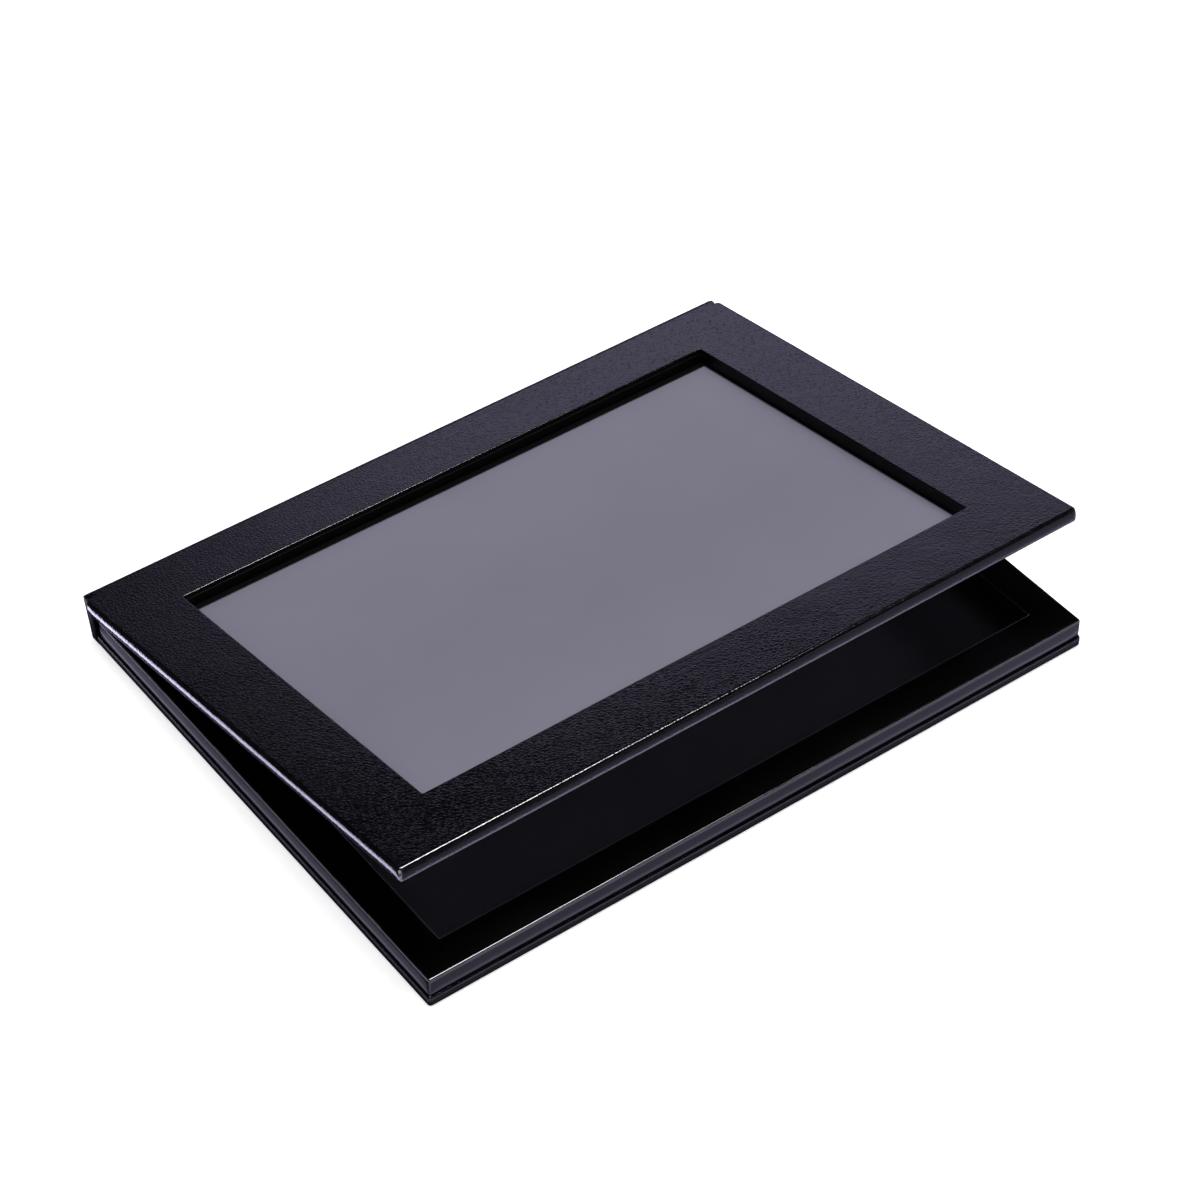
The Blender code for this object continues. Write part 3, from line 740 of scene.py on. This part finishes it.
def new_material(name):
    """A material with its empty tree, and with the places on the object as a socket."""
    material = bpy.data.materials.new(name)
    material.use_nodes = True
    tree = material.node_tree
    tree.nodes.clear()
    return material, tree, node(tree, "TexCoord").outputs["Object"]


def node(tree, kind, settings=None, **inputs):
    """A node with its settings and inputs set. An input that is a socket is linked.

    An input is named with _ for each space, or has its number after a _.
    """
    made = tree.nodes.new("ShaderNode" + kind)
    for key, value in (settings or {}).items():
        setattr(made, key, value)
    for key, value in inputs.items():
        socket = made.inputs[int(key[1:]) if key[0] == "_" else key.replace("_", " ")]
        if isinstance(value, bpy.types.NodeSocket):
            tree.links.new(value, socket)
        else:
            socket.default_value = value
    return made


def mapped(tree, value, low, high, to_low, to_high):
    """A value moved from one range to another."""
    made = node(tree, "MapRange", Value=value, From_Min=low, From_Max=high, To_Min=to_low, To_Max=to_high)
    return made.outputs["Result"]


def joined(tree, kind, first, *others):
    """Values joined one after the other by a Math operation."""
    for other in others:
        first = node(tree, "Math", {"operation": kind}, _0=first, _1=other).outputs[0]
    return first


def scaled(tree, colour, share):
    """A colour times a number."""
    return node(tree, "VectorMath", {"operation": "SCALE"}, _0=colour, Scale=share).outputs[0]


def mixed(tree, share, first, second):
    """A colour between two others."""
    return node(tree, "Mix", {"data_type": "RGBA"}, _0=share, _6=first, _7=second).outputs[2]


def either(tree, share, first, second):
    """One shader or the other."""
    return node(tree, "MixShader", Fac=share, _1=first, _2=second).outputs[0]


def speckle(tree, place, scale, detail=2.0, roughness=0.5):
    """A noise from 0 to 1."""
    made = node(tree, "TexNoise", Vector=place, Scale=scale, Detail=detail, Roughness=roughness)
    return made.outputs["Fac"]


def bumped(tree, height, strength, distance):
    """The normal of a surface with a height."""
    return node(tree, "Bump", Strength=strength, Distance=distance, Height=height).outputs["Normal"]


def colour_ramp(tree, value, stops):
    """A colour by a value, from stops of position and colour."""
    made = node(tree, "ValToRGB", Fac=value)
    elements = made.color_ramp.elements
    while len(elements) < len(stops):
        elements.new(0.5)
    for element, (position, colour) in zip(elements, stops):
        element.position = position
        element.color = (*colour, 1)
    return made.outputs["Color"]


def mottled(tree, value, dark, light, least, most):
    """A colour and a roughness that both change with a noise."""
    tint = colour_ramp(tree, value, ((NOISE_LOW, dark), (NOISE_HIGH, light)))
    return tint, mapped(tree, value, NOISE_LOW, NOISE_HIGH, least, most)


def worn(tree, place, tint, gloss, light, rougher):
    """Colour and roughness with the convex edges rubbed in patches."""
    edge = node(tree, "Attribute", {"attribute_name": "edge"}).outputs["Fac"]
    patches = speckle(tree, place, scale=320.0, detail=4.0, roughness=0.65)
    wear_and_highlight = joined(tree, "MULTIPLY", edge, mapped(tree, patches, *RUBBED_PATCHES))
    tint = mixed(tree, wear_and_highlight, tint, [light * part for part in RUBBED_TINT] + [1])
    return tint, joined(tree, "ADD", gloss, joined(tree, "MULTIPLY", wear_and_highlight, rougher))


def surfaced(material, tree, shader):
    """The material with a shader as its surface."""
    node(tree, "OutputMaterial", Surface=shader)
    return material


def painted(tree, tint, gloss, **inputs):
    """A principled shader of a colour and a roughness."""
    return node(tree, "BsdfPrincipled", Base_Color=tint, Roughness=gloss, **inputs).outputs["BSDF"]


def grained_paper(name):
    """Black paper embossed with a leather grain: rounded pebbles between fine creases."""
    material, tree, place = new_material(name)
    wobble = node(tree, "TexNoise", Vector=place, Scale=WOBBLE_SCALE, Detail=2.0).outputs["Color"]
    shifted = node(tree, "VectorMath", {"operation": "MULTIPLY_ADD"}, _0=wobble, _1=[WOBBLE] * 3, _2=place)
    cells = node(
        tree, "TexVoronoi", {"feature": "DISTANCE_TO_EDGE"}, Vector=shifted.outputs[0], Scale=CELL_SCALE)
    pebbles = mapped(tree, cells.outputs["Distance"], *CELL_SPAN)
    wrinkles = speckle(tree, place, WRINKLE_SCALE)
    fine = speckle(tree, place, FINE_SCALE)
    height = joined(
        tree, "ADD", joined(tree, "MULTIPLY", pebbles, PEBBLE_SHARE),
        joined(tree, "MULTIPLY", wrinkles, WRINKLE_SHARE), joined(tree, "MULTIPLY", fine, FINE_SHARE))
    tint, gloss = mottled(tree, speckle(tree, place, BROAD_SCALE, detail=3.0), (0.0011, 0.0011, 0.0013),
                          (0.0021, 0.0020, 0.0025), least=0.085, most=0.11)
    gloss = joined(tree, "SUBTRACT", gloss, joined(tree, "MULTIPLY", pebbles, PEBBLE_GLOSS))
    tint, gloss = worn(tree, place, tint, gloss, LEAST_RUBBED, rougher=0.08)
    normal = bumped(tree, height, strength=0.42, distance=0.00004)
    return surfaced(material, tree, painted(tree, tint, gloss, Normal=normal))


def smooth_paper(name, dark=0.0006, light=0.0012, roughness=0.115):
    """Black smooth satin paper: faint fibres and a slow change of gloss."""
    material, tree, place = new_material(name)
    fibres = speckle(tree, place, scale=2600.0, detail=3.0, roughness=0.6)
    waves = speckle(tree, place, scale=160.0)
    height = joined(tree, "ADD", joined(tree, "MULTIPLY", fibres, FIBRE_SHARE), waves)
    tint, gloss = mottled(
        tree, speckle(tree, place, scale=45.0, detail=3.0), (dark, dark, dark * BLUER),
        (light, light, light * BLUER), roughness - SMOOTH_SPREAD, roughness + SMOOTH_SPREAD)
    tint, gloss = worn(tree, place, tint, gloss, max(LEAST_RUBBED, light), rougher=0.06)
    normal = bumped(tree, height, strength=0.25, distance=0.00003)
    return surfaced(material, tree, painted(tree, tint, gloss, Normal=normal))


def hazy_film(name, colour, through_share, painted_shade_level):
    """The window's film: an even haze that lets light through, brightened towards the rear by painted light,
    and a painted shade along its margin, widest at the rear.
    """
    material, tree, place = new_material(name)
    margin = node(tree, "Attribute", {"attribute_name": "margin"}).outputs["Fac"]
    dark, light = [[part * share for part in colour] for share in FILM_SHARES]
    haze = speckle(tree, place, scale=60.0, detail=3.0)
    tint, gloss = mottled(tree, haze, dark, light, least=0.53, most=0.57)
    along = node(tree, "SeparateXYZ", Vector=place).outputs["Y"]
    # Painted light: the film's colour rises towards the rear to even out the shade of the window's rear wall
    tint = scaled(tree, tint, mapped(tree, along, *FILM_LIGHT_RISE))
    # Painted shade: the margin is darkened where the window's walls shade the film, most at the rear
    tint = mixed(tree, margin, tint, (painted_shade_level, painted_shade_level, painted_shade_level * BLUER, 1))
    through = node(tree, "BsdfTranslucent", Color=tint).outputs[0]
    face = painted(tree, tint, gloss, Specular_IOR_Level=0.2)
    return surfaced(material, tree, either(tree, through_share, face, through))


def matt_paper(name):
    """The dead matt black of the window's cut edge."""
    material, tree, place = new_material(name)
    fibres = speckle(tree, place, scale=2400.0, detail=3.0)
    tint, gloss = mottled(tree, fibres, (0.0003, 0.0003, 0.0004), (0.0007, 0.0007, 0.0009),
                          least=0.40, most=0.48)
    normal = bumped(tree, fibres, strength=0.3, distance=0.00003)
    return surfaced(material, tree, painted(tree, tint, gloss, Normal=normal, Specular_IOR_Level=0.08))


def plain_stuff(name, dark, light, scale, roughness, metallic=0.0):
    """A mottled stuff for the pieces inside: board, magnetic rubber or plated metal."""
    material, tree, place = new_material(name)
    mottle = speckle(tree, place, scale, detail=5.0, roughness=0.65)
    tint, gloss = mottled(tree, mottle, dark, light, roughness - PLAIN_SPREAD, roughness + PLAIN_SPREAD)
    normal = bumped(tree, mottle, strength=0.4, distance=0.00002)
    return surfaced(material, tree, painted(tree, tint, gloss, Normal=normal, Metallic=metallic))


def level_beyond(tree, value, start, stops):
    """How bright the floor shows in a mirror, by the distance beyond an edge of the base in mm."""
    distance = mapped(tree, value, start, start - LEVEL_REACH / 1000, 0.0, 1.0)
    made = node(tree, "FloatCurve", Value=distance)
    curve = made.mapping.curves[0]
    points = [(far / LEVEL_REACH, level / LEVEL_TOP) for far, level in stops]
    points.append((1.0, points[-1][1]))
    while len(curve.points) < len(points):
        curve.points.new(0.5, 0.5)
    for point, place in zip(curve.points, points):
        point.location = place
        point.handle_type = "VECTOR"
    made.mapping.update()
    return joined(tree, "MULTIPLY", made.outputs[0], LEVEL_TOP)


def floor_level(tree, x, y):
    """How bright each place of the floor shows in a mirror: painted shade next to the base, painted bright
    strips and a painted bright card farther out.
    """
    beside = joined(
        tree, "MULTIPLY", level_beyond(tree, x, BASE_LEFT, BESIDE_LEVELS), mapped(tree, y, *BESIDE_END))
    width = joined(tree, "SUBTRACT", CARD_NARROW, joined(tree, "MULTIPLY", y, CARD_SPREAD))
    ratio = joined(tree, "DIVIDE", joined(tree, "SUBTRACT", LID_LEFT, x), width)
    card = joined(tree, "MULTIPLY", mapped(tree, ratio, *CARD_RISE), mapped(tree, ratio, *CARD_FALL))
    foot = joined(tree, "MULTIPLY", mapped(tree, y, *FOOT_RISE), mapped(tree, y, *FOOT_FALL),
                  mapped(tree, x, *FOOT_SIDE))
    before = joined(tree, "ADD", level_beyond(tree, y, BASE_FRONT, BEFORE_LEVELS), foot)
    before = joined(tree, "MULTIPLY", before, mapped(tree, y, *FRONT_END))
    behind = joined(tree, "MULTIPLY", mapped(tree, y, *BEHIND_RISE), mapped(tree, x, *BEHIND_START))
    beyond = joined(tree, "MAXIMUM", mapped(tree, x, *FAR_LEFT),
                    joined(tree, "MAXIMUM", behind, mapped(tree, x, *FAR_RIGHT)))
    corner = joined(tree, "MULTIPLY", mapped(tree, x, *CORNER_SIDE), mapped(tree, y, *CORNER_FRONT),
                    mapped(tree, y, *CORNER_END))
    level = joined(tree, "MAXIMUM", beside, card, before, beyond, corner)
    ends = joined(tree, "MULTIPLY", mapped(tree, y, *HINGE_END), mapped(tree, x, *RIGHT_END))
    return joined(tree, "MULTIPLY", level, ends)


def add_floor():
    """The white floor. In a mirror it shows painted levels of its own: painted shade next to the base and
    painted light farther out.
    """
    mesh = bpy.data.meshes.new("floor")
    corners = [(x * FLOOR_REACH, y * FLOOR_REACH, 0) for x, y in ((-1, -1), (1, -1), (1, 1), (-1, 1))]
    mesh.from_pydata(corners, [], [range(4)])
    floor = bpy.data.objects.new("floor", mesh)
    bpy.context.scene.collection.objects.link(floor)
    material, tree, place = new_material("floor_white")
    rays = node(tree, "LightPath").outputs
    direct = joined(tree, "MAXIMUM", rays["Is Camera Ray"], rays["Is Transmission Ray"])
    glow = node(
        tree, "Emission", Color=(1, 1, 1, 1), Strength=joined(tree, "MULTIPLY", direct, FLOOR_GLOW))
    matt_white = node(tree, "BsdfDiffuse", Color=(0.8, 0.8, 0.8, 1))
    lit = node(tree, "AddShader", _0=glow.outputs[0], _1=matt_white.outputs[0]).outputs[0]
    along = node(tree, "SeparateXYZ", Vector=place).outputs
    shine = node(
        tree, "Emission", Color=(*FLOOR_MIRRORED, 1), Strength=floor_level(tree, along["X"], along["Y"]))
    surfaced(material, tree, either(tree, rays["Is Glossy Ray"], lit, shine.outputs[0]))
    mesh.materials.append(material)


def add_world():
    """The sky: white to the eye, even to dull surfaces, and with a bright band in a mirror."""
    world = bpy.data.worlds.new("studio")
    world.use_nodes = True
    bpy.context.scene.world = world
    tree = world.node_tree
    tree.nodes.clear()
    way = node(tree, "TexCoord").outputs["Generated"]
    aim = node(tree, "SeparateXYZ", Vector=way).outputs
    across = node(tree, "VectorMath", {"operation": "DOT_PRODUCT"}, _0=way,
                  _1=(-sin(BACKDROP_END), cos(BACKDROP_END), 0)).outputs["Value"]
    slope = joined(tree, "MULTIPLY", joined(tree, "ADD", across, BACKDROP_MIDDLE), BACKDROP_SLOPE)
    band = colour_ramp(tree, joined(tree, "ADD", aim["Z"], slope), SKY_STOPS)
    band_share = joined(tree, "MULTIPLY", mapped(tree, across, *SKY_SIDE), mapped(tree, aim["Y"], *SKY_FRONT))
    off_line = joined(tree, "ABSOLUTE", joined(tree, "SUBTRACT", aim["X"], REAR_CARD_MIDDLE), 0.0)
    card_share = joined(tree, "MULTIPLY", mapped(tree, aim["Y"], *REAR_CARD_FRONT),
                        mapped(tree, off_line, *REAR_CARD_SIDE), mapped(tree, aim["Z"], *REAR_CARD_RISE))
    sky = node(tree, "VectorMath", {"operation": "ADD"}, _0=scaled(tree, band, band_share),
               _1=scaled(tree, REAR_CARD_COLOUR, card_share)).outputs[0]
    hazy, mirrored, plain = [node(tree, "Background", Color=colour).outputs[0]
                             for colour in ((0.6, 0.6, 0.62, 1), sky, (1, 1, 1, 1))]
    rays = node(tree, "LightPath").outputs
    glossy = either(tree, rays["Is Glossy Ray"], hazy, mirrored)
    node(tree, "OutputWorld", Surface=either(tree, rays["Is Camera Ray"], glossy, plain))


def add_lamp(name, place, size, power, mirrored_only=False):
    """A rectangular lamp that points straight down."""
    data = bpy.data.lights.new(name, "AREA")
    data.shape = "RECTANGLE"
    data.size, data.size_y = size
    data.energy = power
    lamp = bpy.data.objects.new(name, data)
    lamp.location = place
    lamp.visible_camera = False
    lamp.visible_diffuse = not mirrored_only
    bpy.context.scene.collection.objects.link(lamp)


bpy.context.scene.view_settings.view_transform = "Standard"
add_camera()
add_floor()
add_world()
add_lamp("top_light", (0.22, 0.05, 1.4), size=(0.90, 0.30), power=15.5)
add_lamp("edge_light", (0.165, 0.05, 1.38), size=(0.79, 0.40), power=32.3, mirrored_only=True)

leather = grained_paper("leather_paper")
smooth = smooth_paper("smooth_paper")
film = hazy_film("hazy_film", (0.244, 0.237, 0.299), through_share=0.45, painted_shade_level=0.0012)
film_below = hazy_film("hazy_film_underside", (0.74, 0.72, 0.80), through_share=0.85, painted_shade_level=0.02)
matt = matt_paper("matt_black_edge")
# Far lighter papers that paint highlights along the tray's inner rim and its front and left top edges
painted_rim_highlight = smooth_paper("painted_rim_highlight", dark=0.10, light=0.14)
painted_edge_highlight = smooth_paper("painted_edge_highlight", dark=0.060, light=0.090)
floor_paper = smooth_paper("tray_floor_paper", roughness=0.30)
board = plain_stuff(
    "greyboard", (0.20, 0.185, 0.16), (0.33, 0.305, 0.27), scale=900.0, roughness=0.9)
rubber = plain_stuff(
    "magnetic_rubber", (0.022, 0.019, 0.018), (0.038, 0.033, 0.030), scale=1400.0, roughness=0.65)
metal = plain_stuff(
    "magnet_metal", (0.50, 0.50, 0.51), (0.60, 0.60, 0.61), scale=1800.0, roughness=0.30, metallic=1.0)

stuffs = {"leather_paper": leather, "smooth_paper": smooth, "clear_film": film, "greyboard": board,
          "magnetic_rubber": rubber, "magnet_metal": metal}
for part in frame["record"]["subparts"]:
    node_mesh = frame["nodes"][part["node"]].data
    node_mesh.materials.clear()
    node_mesh.materials.append(
        floor_paper if part["node"] == "floor_lining" else stuffs[part["material_slot"]])

add_lid_cover(leather, matt)
add_window_sheet(film, film_below, matt)
add_base_cover(leather)
add_tray_cover(smooth, painted_rim_highlight, painted_edge_highlight)
add_spine_cover(leather, matt)
add_spine_lining(smooth)
add_hinge_lining("lower_hinge_sheet", True, "lower_hinge_lining", smooth)
add_hinge_lining("upper_hinge_sheet", False, "upper_hinge_lining", smooth)
add_lid_board(board)
add_fold("upper_fold", False, ("spine", "lid"), ["upper_hinge_strip"], leather)
add_fold("lower_fold", True, ("base", "spine"), ["lower_hinge_strip"], leather)
